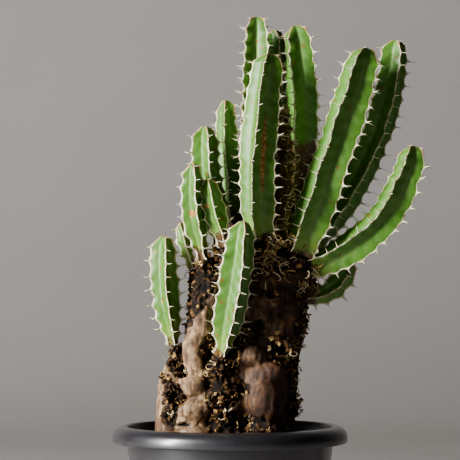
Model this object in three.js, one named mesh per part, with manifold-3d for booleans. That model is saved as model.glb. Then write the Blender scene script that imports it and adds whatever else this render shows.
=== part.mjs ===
// A potted euphorbia: a rolled-rim plastic pot, its soil, one gnarled woody trunk, and the fifteen ribbed
// green stems and the one dead, brown stem that grow on it. Millimetres, +Z up, origin at the centre of
// the pot's underside. The plant faces -Y, and its own heights are measured from the soil surface.
import * as THREE from "three";
import { mergeVertices } from "three/addons/utils/BufferGeometryUtils.js";
import Module from "manifold-3d";

const wasm = await Module();
wasm.setup();

// Pot
const RIM_DIAMETER = 180;
const POT_HEIGHT = 155;
const BASE_DIAMETER = 124;
const WALL = 2.2;
const FLOOR_THICKNESS = 3;
const RIM_OVERHANG = 11; // from the outside of the wall to the outside of the rim, at the skirt's foot
const RIM_DEPTH = 12.5; // height of the skirt that turns down
const RIM_ROUND = 8.5; // height over which the rim rolls inwards at the top
const RIM_CROWN = 4.5; // width of the rim's flat crown, which the inner edge falls away from
const DRAIN_HOLES = 8;
const DRAIN_DIAMETER = 9;
const DRAIN_CIRCLE = 84; // diameter of the circle of drain holes
const POT_SIDES = 40;
const BASE_EDGE = 1.5; // bevel round the underside
const LIP_DEPTH = 3; // how far the rim's inner edge falls away from the crown before the wall starts
const ROLL_STEPS = [0, 22.5, 45, 67.5, 90]; // degrees up the quarter round of the rim
const DRAIN_SIDES = 12;

// Soil
const SOIL_DROP = 20; // from the rim down to the soil at the wall
const SOIL_MOUND = 3; // rise of the soil towards the trunk
const MOUND_SHAPE = [[0.75, 0.7], [0.4, 1]]; // [share of the soil's radius, share of the mound's rise]

// Plant
const TRUNK_GIRTH = 1; // scales every limb's thickness
const KNUCKLE_RISE = 0.035; // how far a limb's knuckles swell, as a share of its radius
const LIMB_ROUNDING = 0.7; // height of a limb's rounded end, as a share of its radius
const LIMB_BLUNTNESS = 0.06; // the least that a limb narrows to at its end, squared share of its radius
const STEM_GIRTH = 1; // scales every stem's thickness
const FURROW = 0.52; // furrow radius as a share of the rib radius
const TOOTH_PITCH = 11; // from one spine cushion to the next along a rib
const TOOTH_RISE = 2.2; // how far a spine cushion stands out from the dips beside it
const SHOULDER = 32; // length over which a stem widens from its neck
const DOME = 0.8; // height of a stem's rounded tip, as a share of its radius
const TIP_TAPER = 0.16; // how much narrower a stem is at its tip, as a share of its radius
const TAPER_LENGTH = 50; // length of that taper, at most a third of the stem
const FOOT_DEPTH = 7; // how far a stem's path starts inside the limb that bears it
const SEAT_STAND = 3; // how far the corky seat under a stem stands out of its limb
const SEAT_ROOT = 12; // how far that seat reaches into the limb
const SEAT_MARGIN = 1; // how much wider than the stem's neck the seat is
const SEAT_FLARE = 1.45; // how much wider again the seat is at its root, as a multiple
const TIP_BLUNTNESS = 0.03; // the least that a stem narrows to at its tip, squared share of its radius
const WAIST_DEPTH = 0.4; // how much narrower a waisted stem is at its waist, as a share
const WAIST_LENGTH = 0.06; // half length of that waist, as a share of the stem
const GAP = 0.3; // clearance between neighbouring pieces

const TOWARDS_FRONT = new THREE.Vector3(0, -1, 0);
const UP = new THREE.Vector3(0, 0, 1);

// The woody limbs that make up the trunk. Each path point is [x, y, height above the soil, radius].
// The radius is measured across the front; depth is the thickness behind it, as a share of the width.
const LIMBS = {
  bole: {
    stations: [
      [8, 8, -46, 20], [5, 5, -20, 36], [8, 4, 16, 40], [11, 3, 45, 39],
      [16, 2, 78, 37], [20, 2, 112, 37.5], [20, 1, 145, 38], [19, 1, 168, 34],
    ],
    depth: 0.8, flutes: 7, fluteDepth: 0.045, knuckles: 4, sides: 24, rings: 16,
  },
  lobe: {
    stations: [
      [-37, -2, -30, 14], [-39, -6, 0, 18], [-40, -8, 35, 16.5], [-38, -9, 62, 14.5], [-41, -9, 79, 9],
    ],
    depth: 1.15, flutes: 4, fluteDepth: 0.05, knuckles: 3, sides: 14, rings: 9,
  },
  arm: {
    stations: [
      [-18, -6, -30, 13], [-20, -14, 10, 17], [-20, -15, 45, 15.5], [-20, -12, 80, 15],
      [-21, -8, 108, 13.5], [-18, -6, 132, 12], [-16, -5, 150, 10.5],
    ],
    depth: 1.1, flutes: 3, fluteDepth: 0.06, knuckles: 5, sides: 14, rings: 13,
  },
  root: {
    stations: [[-2, -10, -30, 10], [-3, -17, 0, 18], [-3, -18, 38, 17], [-4, -17, 66, 15], [-5, -14, 84, 10]],
    depth: 1, flutes: 3, fluteDepth: 0.06, knuckles: 3, sides: 14, rings: 10,
  },
  knee: {
    stations: [[22, -16, 8, 11], [25, -20, 30, 16], [26, -20, 54, 17], [26, -16, 76, 10]],
    depth: 1, flutes: 3, fluteDepth: 0.03, knuckles: 0, sides: 14, rings: 8,
  },
  heel: {
    stations: [[14, 20, -20, 16], [6, 24, 20, 19], [6, 20, 55, 15], [8, 16, 80, 9]],
    depth: 1, flutes: 3, fluteDepth: 0.05, knuckles: 3, sides: 14, rings: 8,
  },
};

// Scars that shed stems have left: [bearing in degrees, sideways offset, height above the soil, radius].
// Bearing 0 is the front, 90 the right; the offset runs to the right as seen from that bearing.
const SCARS = [
  [0, -42, 67, 6.5], [0, -43, 45, 7], [0, -10, 42, 7], [0, 1, 66, 6], [0, -5, 28, 6], [0, 39, 79, 8],
  [0, -35, 21, 5], [0, 32, 122, 5.5], [0, 22, 98, 4.5], [90, 6, 34, 7], [90, -8, 62, 6], [110, 0, 96, 5.5],
  [180, -10, 30, 7], [180, -22, 58, 6], [180, -30, 100, 6.5], [180, 20, 66, 6], [250, 6, 30, 6.5],
];
const SCAR_STAND = 2; // how far a scar's collar stands out
const SCAR_PIT = 4; // how deep its pit goes
const SCAR_FORM = { foot: 1.2, head: 0.85, brim: 0.6, throat: 0.35 }; // radii as shares of the scar's own
const PLUG_SIDES = 9;

// The stems. A stem sprouts where a line from inside its limb leaves the trunk: the line starts at `height`
// above the soil, `across` shares of the limb's radius from its axis, and heads off as the stem does.
// tip is [x, y, height above the soil], bow is how far the middle stands off the straight line,
// radius is to the ribs, neck the share of it at the foot, turn where the first rib points (front to right).
const STEMS = [
  { name: "left_low", limb: "lobe", height: 66, across: [0, 0], tip: [-50, -12, 165],
    bow: [-3.5, -2, 0], radius: 12.3, neck: 0.38, turn: 7 },
  { name: "front_low", limb: "root", height: 64, across: [-0.35, -0.7], tip: [9, -44, 175],
    bow: [2, -3, 0], radius: 14, neck: 0.36, turn: 20 },
  { name: "left_behind", limb: "arm", height: 128, across: [-0.5, 0.4], tip: [-38, 4, 176],
    bow: [-1, 0, 1], radius: 8.8, neck: 0.45, turn: 0 },
  { name: "left_middle", limb: "arm", height: 134, across: [0.1, -0.3], tip: [-28, -24, 220],
    bow: [-4, -2, 0], radius: 10.8, neck: 0.5, turn: 20 },
  { name: "left_tall", limb: "bole", height: 146, across: [-0.55, 0], tip: [-19, -2, 250],
    bow: [-5, -1, 0], radius: 13.3, neck: 0.6, turn: 17 },
  { name: "left_inner", limb: "bole", height: 146, across: [-0.55, -0.5], tip: [-17, -22, 208],
    bow: [-1, -2, 0], radius: 10.4, neck: 0.6, turn: 4 },
  { name: "left_rear", limb: "bole", height: 148, across: [-0.35, 0.6], tip: [-3, 24, 273],
    bow: [-2, 0, 0], radius: 11, neck: 0.7, turn: -15 },
  { name: "centre_front", limb: "bole", height: 146, across: [0.1, -0.62], tip: [31, -18, 304],
    bow: [-5.5, -5, 0], radius: 15.6, neck: 0.72, turn: -15 },
  { name: "tallest", limb: "bole", height: 150, across: [0.1, 0.15], tip: [21, 12, 337],
    bow: [-2, 2, 0], radius: 15.8, neck: 0.7, turn: 45 },
  { name: "rear_tall", limb: "bole", height: 150, across: [0.4, 0.6], tip: [35, 34, 330],
    bow: [3, 4, 0], radius: 12, neck: 0.7, turn: 20 },
  { name: "dead", limb: "bole", height: 150, across: [0.5, -0.3], tip: [41, -4, 262],
    bow: [2, -2, 0], radius: 8, neck: 0.9, turn: 10, finish: "bark" },
  { name: "centre_right", limb: "bole", height: 150, across: [0.72, 0.15], tip: [50, 4, 329],
    bow: [8, 1, 0], radius: 15.8, neck: 0.6, turn: -34, waist: 0.4 },
  { name: "right_broad", limb: "bole", height: 142, across: [0.75, -0.35], tip: [105, -12, 309],
    bow: [2, -4, 0], radius: 17.6, neck: 0.72, turn: -27 },
  { name: "right_tall", limb: "bole", height: 144, across: [0.75, 0.35], tip: [127, 7, 318],
    bow: [20, 4, 0], radius: 14, neck: 0.7, turn: 22 },
  { name: "right_arching", limb: "bole", height: 136, across: [0.75, -0.2], tip: [140, -10, 234],
    bow: [17, -5, -12], radius: 15, neck: 0.75, turn: -26 },
  { name: "right_low", limb: "bole", height: 122, across: [0.75, 0.2], tip: [94, 10, 146],
    bow: [3, 3, -11], radius: 11, neck: 0.65, turn: 12 },
];
const RIBS = 4;

function material(colour, roughness) {
  return new THREE.MeshStandardMaterial({ color: colour, roughness, metalness: 0 });
}

const MATERIALS = {
  pot: material("#36343a", 0.42),
  soil: material("#5a4a3a", 0.95),
  bark: material("#9c8062", 0.85),
  stem: material("#6a8a45", 0.55),
};

const smooth = (share) => THREE.MathUtils.smoothstep(share, 0, 1);
const radians = THREE.MathUtils.degToRad;

// A closed geometry as a manifold-3d solid.
function solidOf(geometry) {
  const bare = new THREE.BufferGeometry().setAttribute("position", geometry.getAttribute("position"));
  bare.setIndex(geometry.index);
  const merged = mergeVertices(bare, 1e-4);
  return new wasm.Manifold(new wasm.Mesh({
    numProp: 3,
    vertProperties: merged.attributes.position.array,
    triVerts: new Uint32Array(merged.index.array),
  }));
}

// A manifold-3d solid as a geometry that three.js draws.
function geometryOf(solid) {
  const mesh = solid.getMesh();
  const geometry = new THREE.BufferGeometry();
  geometry.setAttribute("position", new THREE.BufferAttribute(mesh.vertProperties, 3));
  geometry.setIndex(new THREE.BufferAttribute(mesh.triVerts, 1));
  geometry.computeVertexNormals();
  return geometry;
}

// A tube along a curve, whose radius follows the share of the length and the angle from the front.
// grow thickens it and lengthens it at both ends.
function tubeAlong(curve, sides, rings, turn, depth, grow, radiusAt) {
  const tube = new THREE.CylinderGeometry(1, 1, 1, sides, rings);
  const places = tube.getAttribute("position");
  for (let i = 0; i < places.count; i++) {
    const share = places.getY(i) + 0.5;
    const angle = Math.atan2(places.getX(i), places.getZ(i));
    const out = Math.hypot(places.getX(i), places.getZ(i)) * (radiusAt(share, angle) + grow);
    const along = curve.getTangentAt(share);
    const front = TOWARDS_FRONT.clone().addScaledVector(along, -TOWARDS_FRONT.dot(along)).normalize();
    const side = along.clone().cross(front);
    const place = curve.getPointAt(share).addScaledVector(along, grow * (2 * share - 1));
    place.addScaledVector(front, out * Math.cos(angle + turn) * depth);
    place.addScaledVector(side, out * Math.sin(angle + turn));
    places.setXYZ(i, place.x, place.y, place.z);
  }
  return tube;
}

// Where a limb's axis is at a height above the soil, and how thick the limb is there.
function limbAt(limb, height) {
  const { stations } = LIMBS[limb];
  const last = stations.length - 2;
  const above = stations.findIndex((station) => station[2] > height);
  const i = above < 1 ? (above < 0 ? last : 0) : above - 1;
  const [lower, upper] = [stations[i], stations[i + 1]];
  const share = (height - lower[2]) / (upper[2] - lower[2]);
  const [x, y, , radius] = lower.map((value, k) => THREE.MathUtils.lerp(value, upper[k], share));
  return { x, y, radius: radius * TRUNK_GIRTH };
}

// One limb: a lumpy tube with rounded ends. grow thickens it all over by that much.
function limbSolid(name, grow) {
  const limb = LIMBS[name];
  const bottom = limb.stations[0][2];
  const height = limb.stations.at(-1)[2] - bottom;
  const curve = new THREE.CatmullRomCurve3(limb.stations.map(([x, y, z]) => new THREE.Vector3(x, y, z)));
  const radiusAt = (share, angle) => {
    const { radius } = limbAt(name, curve.getPointAt(share).z);
    const flutes = 1 + limb.fluteDepth * Math.cos(limb.flutes * angle + 2 * Math.sin(3 * share));
    const knuckles = 1 + KNUCKLE_RISE * Math.cos(2 * Math.PI * limb.knuckles * share + angle);
    const end = Math.min(1, ((1 - share) * height) / (LIMB_ROUNDING * radius));
    const start = Math.min(1, (share * height) / (LIMB_ROUNDING * radius));
    const narrowed = [end, start].map((rise) => Math.max(LIMB_BLUNTNESS, 1 - (1 - rise) ** 2));
    return radius * flutes * knuckles * Math.sqrt(narrowed[0] * narrowed[1]);
  };
  return solidOf(tubeAlong(curve, limb.sides, limb.rings, 0, limb.depth, grow, radiusAt));
}

// The joined limbs before the scars are made on them.
function bareTrunk(grow) {
  return Object.keys(LIMBS).map((name) => limbSolid(name, grow)).reduce((all, limb) => all.add(limb));
}

// A short round prism that stands on a surface: its foot lies `below` the surface, its head `above` it.
function plugAt({ point, normal }, footRadius, headRadius, below, above) {
  const plug = new THREE.CylinderGeometry(headRadius, footRadius, below + above, PLUG_SIDES);
  plug.translate(0, (above - below) / 2, 0);
  plug.applyQuaternion(new THREE.Quaternion().setFromUnitVectors(new THREE.Vector3(0, 1, 0), normal));
  plug.translate(point.x, point.y, point.z);
  return solidOf(plug);
}

// The point and normal where a level ray from a bearing meets the trunk.
function surfaceFrom(target, bearing, offset, height) {
  const outward = new THREE.Vector3(Math.sin(radians(bearing)), -Math.cos(radians(bearing)), 0);
  const sideways = new THREE.Vector3(Math.cos(radians(bearing)), Math.sin(radians(bearing)), 0);
  const start = outward.clone().multiplyScalar(RIM_DIAMETER).addScaledVector(sideways, offset);
  start.z = height;
  const [hit] = new THREE.Raycaster(start, outward.clone().negate()).intersectObject(target);
  return { point: hit.point, normal: hit.face.normal.clone().addScaledVector(outward, 1).normalize() };
}

// The path of a stem's axis: it starts inside the limb, and `foot` is where it leaves the trunk.
function stemPath(stem, target) {
  const { x, y, radius } = limbAt(stem.limb, stem.height);
  const depth = LIMBS[stem.limb].depth;
  const [right, back] = stem.across;
  const inside = new THREE.Vector3(x + right * radius, y + back * radius * depth, stem.height);
  const tip = new THREE.Vector3(...stem.tip);
  const bow = new THREE.Vector3(...stem.bow).multiplyScalar(2);
  const heading = tip.clone().sub(inside).multiplyScalar(0.5).add(bow).normalize();
  const [hit] = new THREE.Raycaster(inside, heading).intersectObject(target).toReversed();
  const foot = hit.point;
  const control = foot.clone().lerp(tip, 0.5).add(bow);
  const start = foot.clone().addScaledVector(heading, -FOOT_DEPTH);
  return { foot, heading, curve: new THREE.QuadraticBezierCurve3(start, control, tip) };
}

// The trunk: the limbs, the seats under the stems, and a raised collar round the pit of each scar.
// grow thickens it all over.
function trunkSolid(grow, target) {
  let trunk = bareTrunk(grow);
  for (const stem of STEMS) {
    const { foot, heading } = stemPath(stem, target);
    const radius = stem.radius * STEM_GIRTH * stem.neck + SEAT_MARGIN + grow;
    const place = { point: foot, normal: heading };
    trunk = trunk.add(plugAt(place, radius * SEAT_FLARE, radius, SEAT_ROOT, SEAT_STAND + grow));
  }
  for (const [bearing, offset, height, radius] of SCARS) {
    const place = surfaceFrom(target, bearing, offset * TRUNK_GIRTH, height);
    const { foot, head, brim, throat } = SCAR_FORM;
    const root = radius * brim; // how far the collar reaches into the trunk
    trunk = trunk.add(plugAt(place, radius * foot + grow, radius * head + grow, root, SCAR_STAND + grow));
    const pit = plugAt(place, radius * throat, radius * brim, SCAR_PIT, SCAR_STAND + 1);
    if (grow === 0) trunk = trunk.subtract(pit);
  }
  return trunk;
}

// A ribbed stem: star-shaped in section, toothed along its ribs, narrow at the foot, domed at the tip.
function stemSolid(stem, curve, grow = 0) {
  const length = curve.getLength();
  const teeth = Math.max(3, Math.round(length / TOOTH_PITCH));
  const radius = stem.radius * STEM_GIRTH;
  const radiusAt = (share, angle) => {
    const rib = 0.5 + 0.5 * Math.cos(RIBS * angle);
    const widening = stem.neck + (1 - stem.neck) * smooth((share * length - FOOT_DEPTH) / SHOULDER);
    const fromTip = Math.min(1, ((1 - share) * length) / (DOME * radius));
    const dome = Math.sqrt(Math.max(TIP_BLUNTNESS, 1 - (1 - fromTip) ** 2));
    const tapered = smooth(((1 - share) * length) / Math.min(TAPER_LENGTH, length / 3));
    const narrowing = 1 - TIP_TAPER * (1 - tapered);
    const fromWaist = (share - stem.waist) / WAIST_LENGTH;
    const waist = stem.waist ? 1 - WAIST_DEPTH * Math.exp(-(fromWaist ** 2)) : 1;
    const dip = TOOTH_RISE * rib * (0.5 - 0.5 * Math.cos(2 * Math.PI * teeth * share));
    return (radius * (FURROW + (1 - FURROW) * rib) - dip) * widening * narrowing * dome * waist;
  };
  return solidOf(tubeAlong(curve, 2 * RIBS, 2 * teeth, radians(stem.turn), 1, grow, radiusAt));
}

// Trimming can cut crumbs off a rib; the stem is what is left without them.
function largestBody(solid) {
  return solid.decompose().reduce((largest, body) => (body.volume() > largest.volume() ? body : largest));
}

// The stems in order, each trimmed clear of the trunk and of the stems before it.
function trimmedStems(trunkWithGap, target) {
  const spaced = [];
  return STEMS.map((stem) => {
    const { curve } = stemPath(stem, target);
    let solid = stemSolid(stem, curve).subtract(trunkWithGap);
    for (const neighbour of spaced) solid = solid.subtract(neighbour);
    spaced.push(stemSolid(stem, curve, GAP));
    return largestBody(solid);
  });
}

// The radius of the pot wall's outside at a height above the pot's underside.
function wallRadius(height) {
  const underRim = RIM_DIAMETER / 2 - RIM_OVERHANG;
  return THREE.MathUtils.lerp(BASE_DIAMETER / 2, underRim, height / (POT_HEIGHT - RIM_DEPTH));
}

function revolved(profile) {
  const turned = new THREE.LatheGeometry(profile.map(([r, z]) => new THREE.Vector2(r, z)), POT_SIDES);
  return turned.rotateX(Math.PI / 2);
}

// The pot: a tapered shell whose rim rolls outwards and turns down as a skirt, with drain holes in its floor.
function potSolid() {
  const rim = RIM_DIAMETER / 2;
  const skirtFoot = POT_HEIGHT - RIM_DEPTH;
  const inner = wallRadius(POT_HEIGHT) - WALL;
  const rollWidth = rim - inner - RIM_CROWN;
  const roll = ROLL_STEPS.map((angle) => [
    rim - rollWidth * (1 - Math.cos(radians(angle))),
    POT_HEIGHT - RIM_ROUND * (1 - Math.sin(radians(angle))),
  ]);
  const underRoll = [
    [wallRadius(skirtFoot), skirtFoot],
    [wallRadius(POT_HEIGHT - WALL - 2), POT_HEIGHT - WALL - 2],
    [rim - rollWidth * 0.75, POT_HEIGHT - WALL - 1.5],
    [rim - WALL, POT_HEIGHT - RIM_ROUND - WALL / 2],
    [rim - WALL, skirtFoot],
  ];
  const profile = [
    [0, 0], [BASE_DIAMETER / 2 - BASE_EDGE, 0], [BASE_DIAMETER / 2, BASE_EDGE], ...underRoll,
    [rim, skirtFoot], ...roll, [inner + 0.8, POT_HEIGHT - LIP_DEPTH / 3], [inner, POT_HEIGHT - LIP_DEPTH],
    [wallRadius(FLOOR_THICKNESS) - WALL, FLOOR_THICKNESS], [0, FLOOR_THICKNESS],
  ];
  let pot = solidOf(revolved(profile));
  for (let i = 0; i < DRAIN_HOLES; i++) {
    const around = ((i + 0.5) / DRAIN_HOLES) * 2 * Math.PI;
    const radius = DRAIN_DIAMETER / 2;
    const hole = new THREE.CylinderGeometry(radius, radius, 4 * FLOOR_THICKNESS, DRAIN_SIDES);
    hole.rotateX(Math.PI / 2);
    hole.translate((DRAIN_CIRCLE / 2) * Math.cos(around), (DRAIN_CIRCLE / 2) * Math.sin(around), 0);
    pot = pot.subtract(solidOf(hole));
  }
  return pot;
}

// The soil fills the pot to below its rim, with a hollow where the trunk's buried foot stands.
function soilSolid(trunkWithGap) {
  const bottom = FLOOR_THICKNESS + GAP;
  const edge = POT_HEIGHT - SOIL_DROP;
  const fill = (height) => wallRadius(height) - WALL - GAP;
  const mound = MOUND_SHAPE.map(([out, rise]) => [fill(edge) * out, edge + SOIL_MOUND * rise]);
  const profile = [[0, bottom], [fill(bottom), bottom], [fill(edge), edge], ...mound, [0, edge + SOIL_MOUND]];
  return solidOf(revolved(profile)).subtract(trunkWithGap.translate([0, 0, edge]));
}

function piece(name, solid, finish) {
  const mesh = new THREE.Mesh(geometryOf(solid), finish);
  mesh.name = name;
  return mesh;
}

const target = new THREE.Mesh(geometryOf(bareTrunk(0)), MATERIALS.bark);
target.material.side = THREE.DoubleSide;
const trunkWithGap = trunkSolid(GAP, target);
const plant = new THREE.Group();
plant.position.copy(UP).multiplyScalar(POT_HEIGHT - SOIL_DROP);
plant.add(piece("trunk", trunkSolid(0, target), MATERIALS.bark));
trimmedStems(trunkWithGap, target).forEach((solid, i) => {
  plant.add(piece(`stem_${STEMS[i].name}`, solid, MATERIALS[STEMS[i].finish ?? "stem"]));
});

const pottedEuphorbia = new THREE.Group();
pottedEuphorbia.add(piece("pot", potSolid(), MATERIALS.pot));
pottedEuphorbia.add(piece("soil", soilSolid(trunkWithGap), MATERIALS.soil));
pottedEuphorbia.add(plant);

export default pottedEuphorbia;
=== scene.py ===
"""Potted euphorbia: the looks of a spiny ribbed succulent with a gnarled trunk, in a rolled-rim plastic pot."""

import math
import random
from functools import partial

import bpy
import numpy as np
from bpy.props import FloatProperty, FloatVectorProperty, IntProperty, PointerProperty
from mathutils import Matrix, Quaternion, Vector, noise
from mathutils.bvhtree import BVHTree


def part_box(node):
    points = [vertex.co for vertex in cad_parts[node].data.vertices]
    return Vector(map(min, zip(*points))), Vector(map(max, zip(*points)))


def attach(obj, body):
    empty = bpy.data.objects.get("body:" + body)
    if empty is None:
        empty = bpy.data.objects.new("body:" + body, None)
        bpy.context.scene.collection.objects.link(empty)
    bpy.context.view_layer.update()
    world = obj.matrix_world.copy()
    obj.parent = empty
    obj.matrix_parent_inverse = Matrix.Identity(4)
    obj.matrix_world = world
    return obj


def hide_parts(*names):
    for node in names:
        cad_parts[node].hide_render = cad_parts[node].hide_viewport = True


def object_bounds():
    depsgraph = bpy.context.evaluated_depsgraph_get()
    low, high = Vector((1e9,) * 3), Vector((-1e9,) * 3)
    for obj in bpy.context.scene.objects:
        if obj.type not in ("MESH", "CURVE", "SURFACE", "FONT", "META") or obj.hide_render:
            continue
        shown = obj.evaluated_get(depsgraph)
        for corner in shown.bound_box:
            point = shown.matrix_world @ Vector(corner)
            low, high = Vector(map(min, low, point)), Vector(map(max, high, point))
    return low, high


bl_info = {
    "name": "Potted Euphorbia",
    "version": (1, 0, 0),
    "blender": (4, 5, 0),
    "location": "3D View > Sidebar > Euphorbia",
    "description": "Builds a potted euphorbia with a woody trunk, ribbed spiny stems, soil and pot",
    "category": "Object",
}

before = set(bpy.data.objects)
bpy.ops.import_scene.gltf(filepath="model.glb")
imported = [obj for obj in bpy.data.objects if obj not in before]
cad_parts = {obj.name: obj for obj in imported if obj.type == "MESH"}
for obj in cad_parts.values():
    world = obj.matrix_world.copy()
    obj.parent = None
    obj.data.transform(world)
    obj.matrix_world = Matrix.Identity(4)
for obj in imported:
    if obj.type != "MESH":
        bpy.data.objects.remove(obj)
CAD_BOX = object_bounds()

MM = 0.001
RIBS = 4
STEMS = sorted(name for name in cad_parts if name.startswith("stem_"))
DEAD_STEM = "stem_dead"
POT_LOW, POT_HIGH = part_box("pot")
SOIL_LOW, SOIL_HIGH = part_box("soil")
MOUND = 3 * MM
SOIL_TOP = SOIL_HIGH.z - MOUND  # at the wall; the soil mounds up from there to the trunk
UP = Vector((0, 0, 1))
FRONT = Vector((0, -1, 0))


# --- Small helpers -------------------------------------------------------------------------------

def linear(hex_colour):
    """An sRGB hex colour as the linear colour that shaders want."""
    channels = [int(hex_colour[i:i + 2], 16) / 255 for i in (1, 3, 5)]
    return [c / 12.92 if c <= 0.04045 else ((c + 0.055) / 1.055) ** 2.4 for c in channels] + [1.0]


def smoothstep(low, high, value):
    """0 at low, 1 at high, a smooth way between them and level beyond; low may be the larger of the two."""
    share = np.clip((value - low) / (high - low), 0, 1)
    return share * share * (3 - 2 * share)


def rough(points, scales, shift):
    """Noise of -1 to 1 at every point, with features about as large as the scales; shift picks another field."""
    return np.array([noise.noise(place) for place in (points / scales + [0, 0, shift]).tolist()])


def activate(obj):
    bpy.ops.object.select_all(action="DESELECT")
    obj.select_set(True)
    bpy.context.view_layer.objects.active = obj


def new_object(name, data):
    obj = bpy.data.objects.new(name, data)
    bpy.context.collection.objects.link(obj)
    return obj


def mesh_object(name, places, edges, faces):
    mesh = bpy.data.meshes.new(name)
    mesh.from_pydata([tuple(place) for place in places], edges, faces)
    mesh.update()
    return new_object(name, mesh)


def primitive(kind, **options):
    bpy.ops.object.select_all(action="DESELECT")
    getattr(bpy.ops.mesh, f"primitive_{kind}_add")(**options)
    return bpy.context.object


def coordinates(obj):
    flat = np.empty(len(obj.data.vertices) * 3)
    obj.data.vertices.foreach_get("co", flat)
    return flat.reshape(-1, 3)


def set_coordinates(obj, places):
    obj.data.vertices.foreach_set("co", np.asarray(places, float).ravel())
    obj.data.update()


def normals_of(obj):
    return np.array([vertex.normal for vertex in obj.data.vertices])


def shape_of(obj):
    """The points and faces of a helper object, which is then removed."""
    points, faces = coordinates(obj), [tuple(face.vertices) for face in obj.data.polygons]
    bpy.data.objects.remove(obj)
    return points, faces


def set_attributes(obj, **fields):
    """Gives every vertex a number under each name, for the materials to read."""
    for name, values in fields.items():
        attribute = obj.data.attributes.new(name, "FLOAT", "POINT")
        attribute.data.foreach_set("value", np.asarray(values, float))


def apply_modifier(obj, kind, **settings):
    activate(obj)
    modifier = obj.modifiers.new(kind, kind)
    for key, value in settings.items():
        setattr(modifier, key, value)
    bpy.ops.object.modifier_apply(modifier=modifier.name)


def edit_mesh(*steps):
    """Runs mesh operators on the whole of the active mesh; each step is (operator, options)."""
    bpy.ops.object.mode_set(mode="EDIT")
    for operator, options in steps:
        bpy.ops.mesh.select_all(action="SELECT")
        getattr(bpy.ops.mesh, operator)(**options)
    bpy.ops.object.mode_set(mode="OBJECT")


def smooth_shade(obj, degrees=None):
    activate(obj)
    if degrees is None:
        bpy.ops.object.shade_smooth()
    else:
        bpy.ops.object.shade_smooth_by_angle(angle=math.radians(degrees))


def hand_over(obj, material, slot, *replaced):
    """Gives a finished piece its material and its place in the frame."""
    obj.data.materials.clear()
    obj.data.materials.append(material)
    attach(obj, "root")
    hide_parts(*replaced)


def tree_of(obj):
    return BVHTree.FromObject(obj, bpy.context.evaluated_depsgraph_get())


def scatter(name, shape, places, degrees=None, tones=None):
    """One mesh of many copies of a small shape, each placed by (3x3 rows, offset) and given its tone."""
    template, faces = shape
    points, joined = [], []
    for rotation, offset in places:
        start = len(points) * len(template)
        points.append(template @ np.asarray(rotation).T + np.asarray(offset))
        joined.extend([tuple(start + i for i in face) for face in faces])
    obj = mesh_object(name, np.concatenate(points), [], joined)
    if tones:
        set_attributes(obj, tone=np.repeat(tones, len(template)))
    smooth_shade(obj, degrees)
    return obj


# --- Materials -----------------------------------------------------------------------------------

# Nodes that recur: one colour over another (i0 the share, i6 below, i7 above), a soft step from i1 to i2 up to i4,
# and i0 times i1, with i2 added where it says so.
LAYER = {"kind": "Mix", "output": 2, "data_type": "RGBA", "clamp_factor": True}
STEP = {"kind": "MapRange", "interpolation_type": "SMOOTHSTEP"}
TIMES = {"kind": "Math", "operation": "MULTIPLY"}
TIMES_PLUS = {"kind": "Math", "operation": "MULTIPLY_ADD"}


def per(millimetres):
    """The texture scale whose features are about that many millimetres across."""
    return 1 / (millimetres * MM)


def add_node(tree, kind, output=0, **values):
    """Adds a shader node and returns one of its outputs.

    A value sets the property or the input of that name, or the input of that number when written i0, i1 and so on:
    another node's output is linked to it, a hex colour is turned linear, and stops fill a colour ramp.
    """
    node = tree.nodes.new("ShaderNode" + kind)
    for key, value in values.items():
        if key == "stops":
            elements = node.color_ramp.elements
            for _ in value[2:]:
                elements.new(0.5)
            for element, (position, colour) in zip(elements, value):
                element.position, element.color = position, linear(colour)
        elif hasattr(node, key):
            setattr(node, key, value)
        else:
            socket = node.inputs[int(key[1:]) if key[1:].isdigit() else key.replace("_", " ")]
            if isinstance(value, bpy.types.NodeSocket):
                tree.links.new(value, socket)
            else:
                socket.default_value = linear(value) if isinstance(value, str) else value
    return node.outputs[output] if node.outputs else None


def new_material(name):
    """An empty node material; returns it, what adds its nodes, and its Object coordinates."""
    material = bpy.data.materials.new(name)
    material.use_nodes = True
    material.node_tree.nodes.clear()
    add = partial(add_node, material.node_tree)
    return material, add, add("TexCoord", "Object")


def pot_plastic(settings):
    """Injection-moulded polypropylene, nearly black: broad satin highlights, faint flow haze and dust."""
    material, add, place = new_material("moulded_polypropylene")
    haze, motes, grain = [add("TexNoise", Vector=place, Scale=per(size), Detail=detail, Roughness=rough)
                          for size, detail, rough in ((14, 4, 0.55), (2.4, 5, 0.7), (0.9, 3, 0.55))]
    dust = add(**STEP, i0=motes, i1=0.52, i2=0.8, i4=0.15)
    base = settings.dark
    for share, colour in ((haze, settings.light), (dust, "#8d8478")):
        base = add(**LAYER, i0=share, i6=base, i7=colour)
    rough = add(**TIMES_PLUS, i0=haze, i1=0.14, i2=settings.roughness - 0.05)
    bump = add("Bump", Strength=0.5, Distance=0.03 * MM, Height=grain)
    shader = add("BsdfPrincipled", Base_Color=base, Roughness=rough, Normal=bump, IOR=1.49,
                 Specular_IOR_Level=0.8, Coat_Weight=0.7, Coat_Roughness=0.2)
    add("OutputMaterial", Surface=shader)
    return material


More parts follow.
